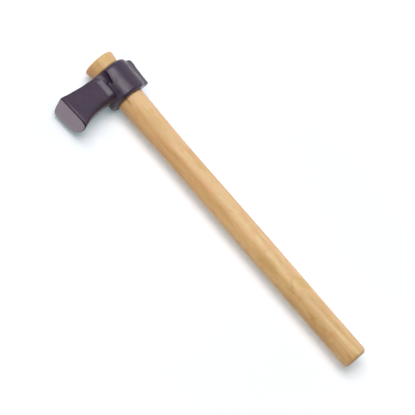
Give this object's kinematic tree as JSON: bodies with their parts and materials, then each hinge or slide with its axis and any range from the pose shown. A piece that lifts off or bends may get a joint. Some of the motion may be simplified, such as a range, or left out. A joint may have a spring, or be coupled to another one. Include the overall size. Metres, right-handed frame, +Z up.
{
  "type": "farrier hammer",
  "caption": "Farrier hammer with a forged head, long striking block, ring eye and short poll, on a straight round wooden handle.",
  "frame": {"origin": "under the middle of the hammer, on the surface that it lies on", "axes": "+X along the handle towards the grip end, striking face towards -Y, +Z up through the cheek that faces up"},
  "size_m": [0.397, 0.0942, 0.0436],
  "materials": {
    "head": "dark aubergine paint with a soft gloss, bare ground striking face",
    "handle": "smooth pale hardwood, lightly oiled"
  },
  "bodies": {
    "handle": {"handle": "handle"},
    "head": {"head": "head"}
  },
  "joints": [
    {"name": "head_off", "type": "slide", "parent": "handle", "child": "head", "axis": [1, 0, 0], "range_m": [0, 0.39]}
  ]
}
